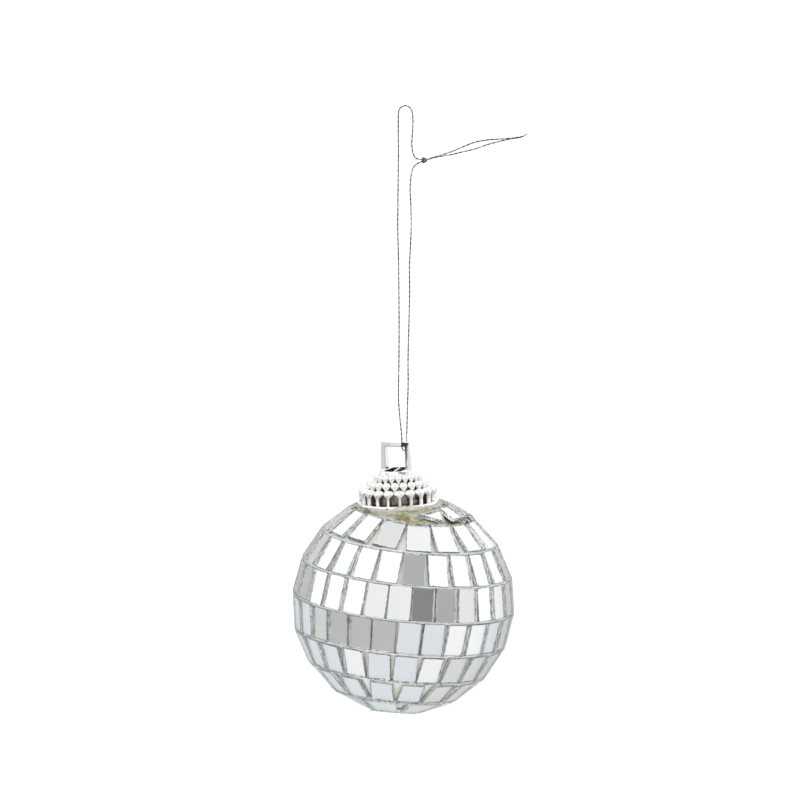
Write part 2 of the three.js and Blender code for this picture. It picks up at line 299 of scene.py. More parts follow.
def bump(tree, shader, source, strength, distance_mm):
    node = tree.nodes.new("ShaderNodeBump")
    node.inputs["Strength"].default_value = strength
    node.inputs["Distance"].default_value = distance_mm * MM
    tree.links.new(source, node.inputs["Height"])
    tree.links.new(node.outputs["Normal"], shader.inputs["Normal"])


def mixed(tree, blend, factor, first, second, colour=None):
    """Mixes two colours; the second may be a constant."""
    mix = tree.nodes.new("ShaderNodeMix")
    mix.data_type = "RGBA"
    mix.blend_type = blend
    mix.inputs["Factor"].default_value = 1.0
    if factor:
        tree.links.new(factor, mix.inputs["Factor"])
    tree.links.new(first, mix.inputs["A"])
    if second:
        tree.links.new(second, mix.inputs["B"])
    else:
        mix.inputs["B"].default_value = colour
    return mix.outputs["Result"]


def glass_face_material():
    """The polished face of the float glass, with a faint film of dust."""
    material, tree, shader = principled(
        "glass_face", Base_Color=(0.97, 0.985, 0.98, 1), Transmission_Weight=1.0, IOR=1.52)
    film = noise(tree, 900)
    levels = ramp(tree, film.outputs["Fac"], [(0.5, grey(0.0)), (0.8, grey(0.06))])
    tree.links.new(levels.outputs["Color"], shader.inputs["Roughness"])
    return material


def silvering_material():
    """The silver coat on the back of the glass, seen through it."""
    material, tree, shader = principled("silvering", Metallic=1.0)
    patches = noise(tree, 260, detail=4)
    tint = ramp(tree, patches.outputs["Fac"], [(0.3, (0.94, 0.95, 0.95)), (0.7, (0.98, 0.985, 0.98))])
    tree.links.new(tint.outputs["Color"], shader.inputs["Base Color"])
    haze = ramp(tree, patches.outputs["Fac"], [(0.45, grey(0.015)), (0.8, grey(0.05))])
    tree.links.new(haze.outputs["Color"], shader.inputs["Roughness"])
    return material


def snapped_edge_material():
    """The clear but uneven edge where the glass was snapped, faintly blue-green in its depth."""
    material, tree, shader = principled("snapped_edge", Transmission_Weight=0.86, IOR=1.46)
    streaks = noise(tree, 1100, detail=4, roughness=0.65)
    colours = ramp(tree, streaks.outputs["Fac"], [
        (0.32, (0.88, 0.96, 0.97)),
        (0.5, (0.97, 1.0, 1.0)),
        (0.66, (1.0, 1.0, 1.0)),
    ])
    tree.links.new(colours.outputs["Color"], shader.inputs["Base Color"])
    rough = ramp(tree, streaks.outputs["Fac"], [(0.4, grey(0.01)), (0.7, grey(0.16))])
    tree.links.new(rough.outputs["Color"], shader.inputs["Roughness"])
    bump(tree, shader, streaks.outputs["Fac"], 0.7, 0.08)
    return material


def backing_paint_material():
    """The dark protective paint over the silver, seen where it wraps onto the snapped edge."""
    material, tree, shader = principled("backing_paint", Roughness=0.55)
    wear = noise(tree, 1300, detail=3)
    tint = ramp(tree, wear.outputs["Fac"], [(0.44, (0.03, 0.032, 0.04)), (0.58, (0.58, 0.61, 0.63))])
    tree.links.new(tint.outputs["Color"], shader.inputs["Base Color"])
    bump(tree, shader, wear.outputs["Fac"], 0.4, 0.04)
    return material


def plated_material():
    """Bright vacuum plating over moulded plastic; in the recesses it gives way to brown bare plastic darkened
    as painted shade, and ambient occlusion paints shade into the crevices.
    """
    material, tree, shader = principled("cap_plating", Metallic=1.0)
    sheen = noise(tree, 700, detail=4)
    tint = ramp(tree, sheen.outputs["Fac"], [(0.3, (0.90, 0.90, 0.89)), (0.7, (0.97, 0.97, 0.96))])
    shaded_bare_recess = tree.nodes.new("ShaderNodeAttribute")
    shaded_bare_recess.attribute_name = "shaded_bare_recess"
    # painted shade: ambient occlusion darkens the plating's colour in crevices and gaps
    crevice_shade_ao = tree.nodes.new("ShaderNodeAmbientOcclusion")
    crevice_shade_ao.inputs["Distance"].default_value = 0.5 * MM
    crevice_shade_ao.samples = 8
    # painted shade: dark browns for the recesses, bare plastic darkened as if in shadow
    shaded_bare_plastic = ramp(tree, noise(tree, 1500, detail=3).outputs["Fac"], [
        (0.36, (0.12, 0.10, 0.085)),
        (0.54, (0.24, 0.20, 0.17)),
        (0.70, (0.55, 0.47, 0.40)),
    ])
    shade = ramp(tree, crevice_shade_ao.outputs["AO"], [(0.15, (0.10, 0.075, 0.065)), (0.42, (1.0, 1.0, 1.0))])
    shaded = mixed(tree, "MULTIPLY", None, tint.outputs["Color"], shade.outputs["Color"])
    colour = mixed(tree, "MIX", shaded_bare_recess.outputs["Fac"], shaded, shaded_bare_plastic.outputs["Color"])
    tree.links.new(colour, shader.inputs["Base Color"])
    rough = ramp(tree, sheen.outputs["Fac"], [(0.3, grey(0.02)), (0.75, grey(0.08))])
    dull = mixed(tree, "MIX", shaded_bare_recess.outputs["Fac"], rough.outputs["Color"], None, (0.4, 0.4, 0.4, 1))
    tree.links.new(dull, shader.inputs["Roughness"])
    waves = noise(tree, 400, detail=1)
    bump(tree, shader, waves.outputs["Fac"], 0.2, 0.05)
    return material


def glue_material():
    """Hot-melt adhesive: pale and clear where it is thin, ochre and olive where it is thick, and darkened
    towards its bottom as painted shadow.
    """
    material, tree, shader = principled(
        "hot_melt_glue", Transmission_Weight=0.45, IOR=1.48, Specular_IOR_Level=0.7)
    cloud = noise(tree, 260, detail=5, roughness=0.6)
    tint = ramp(tree, cloud.outputs["Fac"], [
        (0.38, (0.20, 0.17, 0.03)),
        (0.46, (0.66, 0.57, 0.24)),
        (0.52, (0.90, 0.87, 0.60)),
        (0.60, (0.98, 0.99, 0.90)),
    ])
    thin = tree.nodes.new("ShaderNodeAttribute")
    thin.attribute_name = "thin"
    deep_shade = tree.nodes.new("ShaderNodeAttribute")
    deep_shade.attribute_name = "deep_shade"
    colour = mixed(tree, "MIX", thin.outputs["Fac"], tint.outputs["Color"], None, (0.93, 0.94, 0.80, 1))
    # painted shadow: the lower glue is darkened to olive
    colour = mixed(tree, "MIX", deep_shade.outputs["Fac"], colour, None, (0.13, 0.12, 0.02, 1))
    tree.links.new(colour, shader.inputs["Base Color"])
    rough = ramp(tree, cloud.outputs["Fac"], [(0.3, grey(0.04)), (0.75, grey(0.2))])
    tree.links.new(rough.outputs["Color"], shader.inputs["Roughness"])
    ripple = noise(tree, 900, detail=3)
    bump(tree, shader, ripple.outputs["Fac"], 0.4, 0.2)
    return material


def tape_material():
    """Plain-woven cream cloth, stiff with dried cement."""
    material, tree, shader = principled("tape_cloth", Roughness=0.85, Sheen_Weight=0.2)
    blotch = noise(tree, 350, detail=4)
    tint = ramp(tree, blotch.outputs["Fac"], [(0.3, (0.80, 0.78, 0.68)), (0.7, (0.93, 0.92, 0.87))])
    tree.links.new(tint.outputs["Color"], shader.inputs["Base Color"])
    weave = noise(tree, 2600, detail=2)
    bump(tree, shader, weave.outputs["Fac"], 0.6, 0.08)
    return material


def foam_material():
    """Expanded polystyrene: pressed beads with fine joints between them."""
    material, tree, shader = principled("foam_beads", Roughness=0.8, Subsurface_Weight=0.1)
    place = tree.nodes.new("ShaderNodeTexCoord")
    cells = tree.nodes.new("ShaderNodeTexVoronoi")
    cells.inputs["Scale"].default_value = 420
    tree.links.new(place.outputs["Object"], cells.inputs["Vector"])
    tint = ramp(tree, cells.outputs["Distance"], [(0.0, (0.93, 0.93, 0.91)), (0.8, (0.82, 0.82, 0.80))])
    tree.links.new(tint.outputs["Color"], shader.inputs["Base Color"])
    bump(tree, shader, cells.outputs["Distance"], 0.7, 0.2)
    return material


def thread_material():
    """Flat silver film wound round a grey core; its colour runs in bright and dark dashes, partly the film
    and core and partly painted glints.
    """
    material, tree, shader = principled("metallic_thread", Metallic=0.9)
    painted_glints = noise(tree, 900, detail=2, stretch=(1, 1, 0.45))
    # painted highlights: the base colour itself glints in short bright dashes
    tint = ramp(tree, painted_glints.outputs["Fac"], [
        (0.40, (0.05, 0.05, 0.055)),
        (0.54, (0.15, 0.155, 0.16)),
        (0.68, (0.55, 0.55, 0.55)),
    ])
    tree.links.new(tint.outputs["Color"], shader.inputs["Base Color"])
    rough = ramp(tree, painted_glints.outputs["Fac"], [(0.4, grey(0.45)), (0.65, grey(0.18))])
    tree.links.new(rough.outputs["Color"], shader.inputs["Roughness"])
    return material


MATERIALS = {}


def make_materials():
    MATERIALS["glass"] = [glass_face_material(), snapped_edge_material(), silvering_material(),
                          backing_paint_material()]
    MATERIALS["plating"] = plated_material()
    MATERIALS["glue"] = glue_material()
    MATERIALS["tape"] = tape_material()
    MATERIALS["cement"] = cement_material()
    MATERIALS["foam"] = foam_material()
    MATERIALS["thread"] = thread_material()


# --- thread ---

FRONT_ROUTE = [
    (-0.55, -1.18, -74.6), (-0.75, -1.12, -72.5), (-1.05, -1.05, -69.5), (-1.3, -0.95, -65),
    (-1.2, -0.9, -58), (-1.15, -0.8, -50), (-1.2, -0.7, -42), (-1.3, -0.6, -34),
    (-1.45, -0.5, -28), (-1.4, -0.35, -20), (-1.3, -0.2, -11), (-1.35, -0.05, -5),
    (-1.25, 0, -1.4), (-0.75, 0, -0.4), (0.25, 0, 0), (1.2, 0, -0.4),
    (1.75, 0, -1.4), (1.93, 0, -3.3), (1.85, 0, -5.7), (1.68, -0.05, -8.6),
    (1.95, -0.1, -10.7), (2.6, -0.12, -11.8), (3.5, -0.12, -12.05),
]
BACK_ROUTE = [
    (0.55, 1.18, -74.6), (0.62, 1.15, -72), (0.72, 1.1, -68), (0.87, 1, -63),
    (0.85, 0.95, -57), (1.05, 0.85, -49), (1.2, 0.75, -42), (1.15, 0.65, -37),
    (1.3, 0.55, -33), (1.5, 0.45, -29), (1.55, 0.4, -26), (1.45, 0.35, -22),
    (1.3, 0.3, -19), (1.5, 0.25, -16), (1.95, 0.2, -14.1), (2.75, 0.15, -13.15),
    (3.6, 0.12, -12.75),
]
KNOT_CENTRE = (4.44, 0, -12.26)
UPPER_TAIL = [
    (5.35, -0.33, -12), (6.4, -0.33, -11.6), (8.1, -0.33, -11.1), (10.5, -0.3, -10.3),
    (12.75, -0.3, -9.35), (15.5, -0.3, -8.25), (18.2, -0.3, -7.7), (21.4, -0.33, -7.45),
    (24.2, -0.33, -7.2), (26.2, -0.33, -6.9), (27.3, -0.33, -6.3),
]
LOWER_TAIL = [
    (5.35, 0.33, -12.15), (6.4, 0.33, -11.8), (8.15, 0.33, -11.45), (10.5, 0.3, -11.05),
    (12.75, 0.3, -10.5), (15.7, 0.3, -9.8), (18.2, 0.3, -8.9), (22.1, 0.33, -7.85),
    (24.2, 0.33, -7.45), (26, 0.33, -7.15),
]


def smooth_path(points, spacing):
    """Uniform Catmull-Rom spline through the points, in metres, at an even spacing."""
    points = [Vector(p) for p in points]
    ends = [points[0] * 2 - points[1], *points, points[-1] * 2 - points[-2]]
    dense = []
    for p0, p1, p2, p3 in zip(ends, ends[1:], ends[2:], ends[3:]):
        for i in range(24):
            t = i / 24
            a = p1 * 2
            b = (p2 - p0) * t
            c = (p0 * 2 - p1 * 5 + p2 * 4 - p3) * t * t
            d = (p1 * 3 - p0 - p2 * 3 + p3) * t * t * t
            dense.append((a + b + c + d) / 2)
    dense.append(points[-1])
    even = [dense[0]]
    left = spacing
    for start, end in zip(dense, dense[1:]):
        span = (end - start).length
        done = 0.0
        while span - done >= left:
            done += left
            even.append(start.lerp(end, done / span))
            left = spacing
        left -= span - done
    even.append(dense[-1])
    return even


def half_turn(side):
    """From the lowest point of the turn under the bar up one side of it, in millimetres."""
    yaw = math.radians(EYE_YAW)
    across = Vector((-math.sin(yaw), math.cos(yaw), 0)) * side
    points = []
    for degrees in range(0, 91, 15):
        angle = math.radians(degrees)
        points.append(across * BAR_TURN * math.sin(angle) + Vector((0, 0, -BAR_TURN * math.cos(angle))))
    points.append(across * BAR_TURN + Vector((0, 0, 0.85)))
    return [(p.x, p.y, p.z + bar_height / MM) for p in points]


def moving_frames(path):
    """A direction across the path at every point, carried along without twisting."""
    side = Vector((0, 1, 0))
    frames = []
    for i, point in enumerate(path):
        ahead = path[min(i + 1, len(path) - 1)] - path[max(i - 1, 0)]
        ahead.normalize()
        side = (side - ahead * side.dot(ahead)).normalized()
        frames.append((point, side.copy(), ahead.cross(side)))
    return frames


def twisted_thread(name, path, diameter, lay_length, spacing):
    """Two flattened plies twisted round each other along the path."""
    ply_wide = diameter * 0.32
    ply_thin = diameter * 0.27
    offset = diameter / 2 - ply_wide
    sides = 8
    frames = moving_frames(path)
    verts = []
    faces = []
    for ply in range(2):
        base = len(verts)
        for step, (point, side, other) in enumerate(frames):
            twist = 2 * math.pi * step * spacing / lay_length + math.pi * ply
            out = side * math.cos(twist) + other * math.sin(twist)
            along = other * math.cos(twist) - side * math.sin(twist)
            roll = twist * 1.7
            for i in range(sides):
                angle = 2 * math.pi * i / sides
                wide = ply_wide * math.cos(angle)
                thin = ply_thin * math.sin(angle)
                u = wide * math.cos(roll) - thin * math.sin(roll)
                v = wide * math.sin(roll) + thin * math.cos(roll)
                verts.append(point + out * (offset + u) + along * v)
        for step in range(len(frames) - 1):
            for i in range(sides):
                a = base + step * sides + i
                b = base + step * sides + (i + 1) % sides
                faces.append((a, b, b + sides, a + sides))
        faces.append(tuple(base + i for i in reversed(range(sides))))
        last = base + (len(frames) - 1) * sides
        faces.append(tuple(last + i for i in range(sides)))
    mesh = mesh_from(name, verts, faces)
    shade_by_angle(mesh, 60)
    return mesh


def path_length(path):
    return sum((b - a).length for a, b in zip(path, path[1:]))


def overhand_knot():
    """A tight overhand knot: a trefoil of thread pulled up small."""
    centre = Vector(KNOT_CENTRE) * MM
    radius, tube, steps = 0.40, 0.17, 96
    points = []
    for i in range(steps + 1):
        t = 2 * math.pi * i / steps
        ring = radius + tube * math.cos(3 * t)
        point = (ring * math.cos(2 * t), tube * math.sin(3 * t), ring * math.sin(2 * t))
        points.append(centre + Vector(point) * MM)
    spacing = path_length(points) / (len(points) - 1)
    mesh = twisted_thread("thread_knot_tied", points, THREAD_DIAMETER * MM, KNOT_LAY * MM, spacing)
    return new_object("thread_knot_tied", mesh, [MATERIALS["thread"]])


def make_thread():
    knot = overhand_knot()
    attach(knot, "hanging_thread")
    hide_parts("thread_knot")
    spacing = 0.12 * MM
    runs = [
        ("thread_front_run", half_turn(-1) + FRONT_ROUTE + [KNOT_CENTRE] + UPPER_TAIL,
         ["thread_front_strand", "thread_tail_upper", "thread_bight"]),
        ("thread_back_run", half_turn(1) + BACK_ROUTE + [KNOT_CENTRE] + LOWER_TAIL,
         ["thread_back_strand", "thread_tail_lower"]),
    ]
    for name, route, nodes in runs:
        path = smooth_path([Vector(p) * MM for p in route], spacing)
        mesh = twisted_thread(name, path, THREAD_DIAMETER * MM, THREAD_LAY * MM, spacing)
        run = new_object(name, mesh, [MATERIALS["thread"]])
        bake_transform(run)
        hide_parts(*nodes)


# --- mirror tiles ---

def latitude_of(row):
    return math.radians(EQUATOR_SHIFT + ROW_PITCH * (MIDDLE_ROW - row))


def width_in(row):
    count, _ = ROWS[row]
    latitude = latitude_of(row)
    edge = BACK_DISTANCE * math.cos(latitude) - abs(math.sin(latitude)) * TILE_HEIGHT / 2
    return min(TILE_WIDTH, 2 * edge * math.tan(math.pi / count) - TILE_GAP)


def snapped_outline(corners, chip_chance):
    """The outline of a snapped tile, anticlockwise: nearly straight edges with small bites."""
    points = []
    for (x0, z0), (x1, z1) in zip(corners, corners[1:] + corners[:1]):
        length = math.hypot(x1 - x0, z1 - z0)
        count = max(3, round(length / EDGE_STEP))
        bow = random.uniform(-EDGE_BOW, EDGE_BOW)
        cut = random.uniform(*CORNER_CUT) if random.random() < chip_chance else 0.05
        normal = ((z1 - z0) / length, -(x1 - x0) / length)
        for i in range(count):
            t = (i + 0.5) / count
            ragged = random.gauss(0, EDGE_ROUGHNESS)
            ragged -= random.uniform(0, BITE_DEPTH) if random.random() < BITE_CHANCE else 0
            near = min(t, 1 - t) * length
            ragged -= max(0.0, cut - near) * 0.8 if t < 0.5 else max(0.0, 0.06 - near)
            out = ragged + bow * (1 - (2 * t - 1) ** 2)
            points.append((x0 + (x1 - x0) * t + normal[0] * out, z0 + (z1 - z0) * t + normal[1] * out))
    return points


def shrunk(points, amount):
    """The outline pulled in towards its middle by about that much."""
    middle_x = sum(p[0] for p in points) / len(points)
    middle_z = sum(p[1] for p in points) / len(points)
    pulled = []
    for x, z in points:
        dx, dz = x - middle_x, z - middle_z
        far = math.hypot(dx, dz)
        pulled.append((x - dx / far * amount, z - dz / far * amount))
    return pulled


def tile_parts(corners, matrix, chip_chance=0.3):
    """Vertices, faces and material numbers of one slab of mirror glass."""
    outline = snapped_outline(corners, chip_chance)
    count = len(outline)
    lean_x = random.uniform(-SLAB_LEAN, SLAB_LEAN)
    lean_z = random.uniform(-SLAB_LEAN, SLAB_LEAN)
    # depth into the slab as a share of it, how far the outline is pulled in, roughness
    rings = [
        (0.0, 0.045, 0.0),
        (0.05, 0.0, 0.015),
        (0.35, 0.0, 0.03),
        (0.7, 0.0, 0.035),
        (0.9, 0.01, 0.02),
        (1.0, 0.03, 0.02),
    ]
    verts = []
    for depth, inset, rough in rings:
        ring = shrunk(outline, inset)
        for x, z in ring:
            x += lean_x * (depth - 0.5) + random.gauss(0, rough)
            z += lean_z * (depth - 0.5) + random.gauss(0, rough)
            verts.append(matrix @ (Vector((x, depth * GLASS_THICKNESS - FRONT_DISTANCE, z)) * MM))
    faces = [tuple(range(count))]
    kinds = [0]
    for ring in range(len(rings) - 1):
        for i in range(count):
            j = (i + 1) % count
            low, high = ring * count, (ring + 1) * count
            faces.append((low + i, high + i, high + j, low + j))
            kinds.append(3 if ring == len(rings) - 2 else 1)
    faces.append(tuple(reversed(range(count * (len(rings) - 1), count * len(rings)))))
    kinds.append(2)
    return verts, faces, kinds


def trapezium(top, bottom, height):
    half = height / 2
    return [(-bottom / 2, -half), (bottom / 2, -half), (top / 2, half), (-top / 2, half)]


def placed(latitude, azimuth, tilt=0.8, roll=1.0, slide=0.06, hand=(0, 0, 0)):
    """Where a tile goes in the mosaic, laid by hand: a little tilted, turned and shifted."""
    across, up, turn = hand
    middle = Matrix.Translation((0, -FRONT_DISTANCE * MM, 0))
    laid = Matrix.Translation(Vector((across, 0, up)) * MM) @ Matrix.Rotation(math.radians(turn), 4, "Y")
    wobble = (Matrix.Rotation(math.radians(random.uniform(-tilt, tilt)), 4, "X")
              @ Matrix.Rotation(math.radians(random.uniform(-tilt, tilt)), 4, "Z")
              @ Matrix.Rotation(math.radians(random.uniform(-roll, roll)), 4, "Y"))
    shift = Matrix.Translation(Vector((random.uniform(-slide, slide), 0, random.uniform(-slide, slide))) * MM)
    return (mosaic_frame @ Matrix.Rotation(azimuth, 4, "Z") @ Matrix.Rotation(-latitude, 4, "X")
            @ middle @ laid @ shift @ wobble @ middle.inverted())


def tile_object(name, tiles, node):
    verts, faces, kinds = [], [], []
    for tile_verts, tile_faces, tile_kinds in tiles:
        base = len(verts)
        verts.extend(tile_verts)
        faces.extend(tuple(base + i for i in face) for face in tile_faces)
        kinds.extend(tile_kinds)
    mesh = bpy.data.meshes.new(name)
    mesh.from_pydata([tuple(v) for v in verts], [], faces)
    mesh.polygons.foreach_set("material_index", kinds)
    mesh.update()
    obj = new_object(name, mesh, MATERIALS["glass"])
    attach(obj, "ball")
    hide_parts(node)
    return obj


def azimuth_of(row, place):
    count, phase = ROWS[row]
    return math.radians(phase) + 2 * math.pi * (place + 0.5) / count


# Tiles laid noticeably askew: (row, place): millimetres across, millimetres up, degrees turned
HAND_LAID = {
    (1, 0): (-0.1, 0.0, 0.0), (1, 1): (-0.45, 0.1, 0.0), (1, 2): (-0.3, 0.0, 0.0),
    (1, 15): (-0.25, 0.35, 5.0), (1, 14): (-0.4, 0.7, 3.0), (1, 13): (-0.4, 0.6, 2.0),
}


def hand_laid(row, place):
    return HAND_LAID.get((row, place), (0, 0, 0))


def make_rows():
    for row in range(2, LAST_ROW):
        corners = trapezium(width_in(row), width_in(row), TILE_HEIGHT)
        tiles = []
        for place in range(ROWS[row][0]):
            matrix = placed(latitude_of(row), azimuth_of(row, place), hand=hand_laid(row, place))
            tiles.append(tile_parts(corners, matrix))
        tile_object(f"tiles_row_{row}", tiles, f"mirror_row_{row}")


def make_loose_tiles():
    shapes = {
        1: trapezium(width_in(1), TOP_TILE_FOOT, TILE_HEIGHT),
        LAST_ROW: trapezium(BOTTOM_TILE_HEAD, width_in(LAST_ROW), TILE_HEIGHT),
    }
    for row, corners in shapes.items():
        for place in range(ROWS[row][0]):
            matrix = placed(latitude_of(row), azimuth_of(row, place), 1.2, 2.0, hand=hand_laid(row, place))
            tile = tile_parts(corners, matrix)
            number = f"{row}_{place + 1:02d}"
            tile_object(f"tile_{number}", [tile], f"mirror_tile_{number}")


def make_offcuts():
    for place, azimuth in enumerate(OFFCUT_AZIMUTHS):
        matrix = placed(math.radians(OFFCUT_LATITUDE), math.radians(azimuth))
        tile = tile_parts(trapezium(4.5, 4.5, 4.8), matrix, 0.6)
        tile_object(f"offcut_{place + 1}", [tile], f"cap_offcut_{place + 1}")
    front = [(-3.3, 1.1), (2.3, -1.3), (2.9, 3.1)]
    back = [(-across, up) for across, up in reversed(front)]
    for side, chip, azimuth in (("front", front, 24), ("back", back, 162)):
        tile = tile_parts(chip, placed(math.radians(CHIP_LATITUDE), math.radians(azimuth)), 0.1)
        tile_object(f"chip_{side}", [tile], f"cap_chip_{side}")
    for side, name in ((-1, "left"), (1, "right")):
        shift = side * 2.65
        corners = [(x + shift, z) for x, z in trapezium(5.0, 5.0, 7.0)]
        tile = tile_parts(corners, placed(-math.pi / 2, 0))
        tile_object(f"pole_{name}", [tile], f"pole_tile_{name}")


# --- backing, foam and glue ---

def plane_point(latitude, distance, up):
    return (distance * math.cos(latitude) - up * math.sin(latitude),
            distance * math.sin(latitude) + up * math.cos(latitude))


def cement_material():
    """Pale cement squeezed up between the rows, cream in one place and bluish in the next."""
    material, tree, shader = principled("cement", Roughness=0.6, Subsurface_Weight=0.2)
    blotch = noise(tree, 60, detail=4)
    tint = ramp(tree, blotch.outputs["Fac"], [
        (0.35, (0.94, 0.92, 0.82)),
        (0.5, (0.95, 0.95, 0.93)),
        (0.65, (0.84, 0.90, 0.93)),
    ])
    tree.links.new(tint.outputs["Color"], shader.inputs["Base Color"])
    grain = noise(tree, 1600, detail=3)
    bump(tree, shader, grain.outputs["Fac"], 0.6, 0.1)
    return material


# Section of the cement between two rows: distance from the ball's centre, millimetres up
JOINT_SECTION = [
    (23.3, -0.1), (24.1, -0.13), (24.4, -0.22), (24.52, 0),
    (24.4, 0.22), (24.1, 0.13), (23.3, 0.1),
]


def joint_bead(row):
    """The cement in the groove below a row, uneven in depth all the way round."""
    latitude = latitude_of(row) - math.radians(ROW_PITCH / 2)
    profile = [plane_point(latitude, *corner) for corner in JOINT_SECTION]
    mesh = turned_mesh(f"joint_{row}", profile, 240)
    for vertex in mesh.vertices:
        swell = field.noise(vertex.co / MM * 0.7 + Vector((row * 9.0, 0, 0)))
        vertex.co *= 1 + 0.009 * swell
    for polygon in mesh.polygons:
        polygon.use_smooth = True
    return mesh


def make_tapes():
    for row in range(1, LAST_ROW + 1):
        latitude = latitude_of(row)
        inner, outer, half = BACK_DISTANCE - 0.6, BACK_DISTANCE - 0.2, 3.55
        corners = [(inner, -half), (outer, -half), (outer, half), (inner, half)]
        profile = [plane_point(latitude, distance, up) for distance, up in corners]
        mesh = turned_mesh(f"tape_{row}", profile, 160)
        ragged = random.Random(row)
        for vertex in mesh.vertices:
            vertex.co.z += ragged.gauss(0, 0.04) * MM
        pieces = [(f"tape_{row}", mesh, "tape")]
        if row < LAST_ROW:
            pieces.append((f"joint_{row}", joint_bead(row), "cement"))
        for name, mesh, material in pieces:
            mesh.transform(mosaic_frame)
            piece = new_object(name, mesh, [MATERIALS[material]])
            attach(piece, "ball")
            if material == "tape":
                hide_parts(f"backing_tape_{row}")


def make_foam():
    radius = core_radius / MM
    hole = 3.1
    floor = CAP_RIM_HEIGHT - 7.3
    lip = math.sqrt(radius ** 2 - hole ** 2)
    start = math.degrees(math.atan2(lip, hole))
    profile = [*reversed(arc((0, 0), radius, -90, start, 60))]
    profile = [(hole, floor)] + profile[:-1] + [(0, -radius)]
    mesh = turned_mesh("foam_ball", [(0, floor)] + profile, 128)
    mesh.transform(Matrix.Translation(ball_centre) @ cap_turn)
    shade_by_angle(mesh, 40)
    foam = new_object("foam_ball", mesh, [MATERIALS["foam"]])
    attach(foam, "ball")
    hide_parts("foam_core")


# Lumps of glue that were pressed out over the rim: azimuth, distance from the axis, height, size
GLUE_LUMPS = [
    (-6, 8.7, -0.5, 0.8), (2, 9.0, -0.3, 0.85), (9, 9.1, -0.1, 0.75), (15, 9.2, -0.4, 0.9),
    (23, 9.3, -0.6, 0.8), (32, 9.2, -0.5, 0.75), (42, 9.1, -0.5, 0.7), (-20, 8.6, -0.8, 0.6),
    (95, 9.1, -0.5, 0.8), (150, 9.2, -0.4, 0.9),
    (205, 9.1, -0.5, 0.7), (250, 9.0, -0.5, 0.8),
]


def make_glue():
    """The glue keeps its CAD shape as a base, with lumps and ripples where it set."""
    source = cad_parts["glue_collar"]
    bm = bmesh.new()
    bm.from_mesh(source.data)
    for azimuth, out, height, size in GLUE_LUMPS:
        angle = math.radians(azimuth)
        place = Matrix.Translation(Vector((out * math.sin(angle), -out * math.cos(angle), height)) * MM)
        flat = Matrix.Diagonal((size * MM, size * MM, size * 0.8 * MM, 1))
        bmesh.ops.create_icosphere(bm, subdivisions=3, radius=1, matrix=cap_frame @ place @ flat)
    glue = new_object("glue_bead", finished("glue_base", bm), [MATERIALS["glue"]])
    remesh = glue.modifiers.new("remesh", "REMESH")
    remesh.mode = "VOXEL"
    remesh.voxel_size = 0.17 * MM
    smooth = glue.modifiers.new("smooth", "SMOOTH")
    smooth.iterations = 5
    depsgraph = bpy.context.evaluated_depsgraph_get()
    mesh = bpy.data.meshes.new_from_object(glue.evaluated_get(depsgraph))
    glue.modifiers.clear()
    glue.data = mesh
    to_cap = cap_frame.inverted()
    thin = [0.0] * len(mesh.vertices)
    deep_shade = [0.0] * len(mesh.vertices)
    normals = [vertex.normal.copy() for vertex in mesh.vertices]
    for i, (vertex, normal) in enumerate(zip(mesh.vertices, normals)):
        point = vertex.co / MM
        across, _, low = (to_cap @ vertex.co) / MM
        right_side = 0.35 + 0.65 * smooth_step((across + 1.5) / 2.5)
        thin[i] = 0.85 * right_side * smooth_step((low + 1.3 + 2.0 * field.noise(point * 0.45)) / 0.6)
        # painted shadow: the glue low under the rim is darkened in patches
        patch = smooth_step((field.noise(point * 0.6) + 0.1) / 0.25)
        deep_shade[i] = 0.55 * smooth_step((-1.1 - low) / 0.8) * patch
        vertex.co += normal * (0.3 * field.noise(point * 0.6) + 0.14 * field.noise(point * 1.9)) * MM
    mesh.attributes.new("thin", "FLOAT", "POINT").data.foreach_set("value", thin)
    mesh.attributes.new("deep_shade", "FLOAT", "POINT").data.foreach_set("value", deep_shade)
    for polygon in mesh.polygons:
        polygon.use_smooth = True
    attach(glue, "ball")
    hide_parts("glue_collar")


# --- cap ---

def lofted(bm, levels, ring, azimuth, sides=20):
    """A closed lobe of stacked ellipses (height, half width, reach), at a place on the ring."""
    rings = []
    for height, half_width, reach in levels:
        points = []
        for i in range(sides):
            angle = 2 * math.pi * i / sides
            point = Vector((ring + reach * math.cos(angle), half_width * math.sin(angle), height)) * MM
            points.append(bm.verts.new(Matrix.Rotation(azimuth, 3, "Z") @ point))
        rings.append(points)
    for low, high in zip(rings, rings[1:]):
        for i in range(sides):
            j = (i + 1) % sides
            bm.faces.new((low[i], low[j], high[j], high[i]))
    bm.faces.new(tuple(reversed(rings[0])))
    bm.faces.new(tuple(rings[-1]))


def round_bead(radius, height, ledge):
    """A bead that narrows below its waist, so a wedge opens between it and the next one; the wedge is also
    coloured dark as painted shade.
    """
    levels = []
    for share in (1.0, 0.75, 0.5, 0.3, 0.15):
        low = height - (height - ledge + 0.2) * share
        levels.append((low, radius * (1 - 0.75 * share ** 1.2), radius * (1 - 0.25 * share)))
    for step in range(0, 9):
        angle = math.radians(10.5 * step)
        reach = radius * math.cos(angle)
        levels.append((height + radius * math.sin(angle), reach, reach))
    return levels


def headed_rib(radius, height, ledge):
    """A flattened bead on top of a narrow upright rib that stands on the rim."""
    rib = 0.47
    head = 0.9
    waist = height - 1.1
    levels = [(ledge - 0.2, rib + 0.06, radius - 0.1), (waist, rib, radius - 0.1)]
    for step in range(1, 7):
        share = smooth_step(step / 7)
        low = waist + (height - waist) * step / 7
        levels.append((low, rib + (radius - rib) * share, radius - 0.1 * (1 - share)))
    for step in range(0, 9):
        angle = math.radians(10.5 * step)
        reach = radius * math.cos(angle)
        levels.append((height + head * math.sin(angle), reach, reach))
    return levels


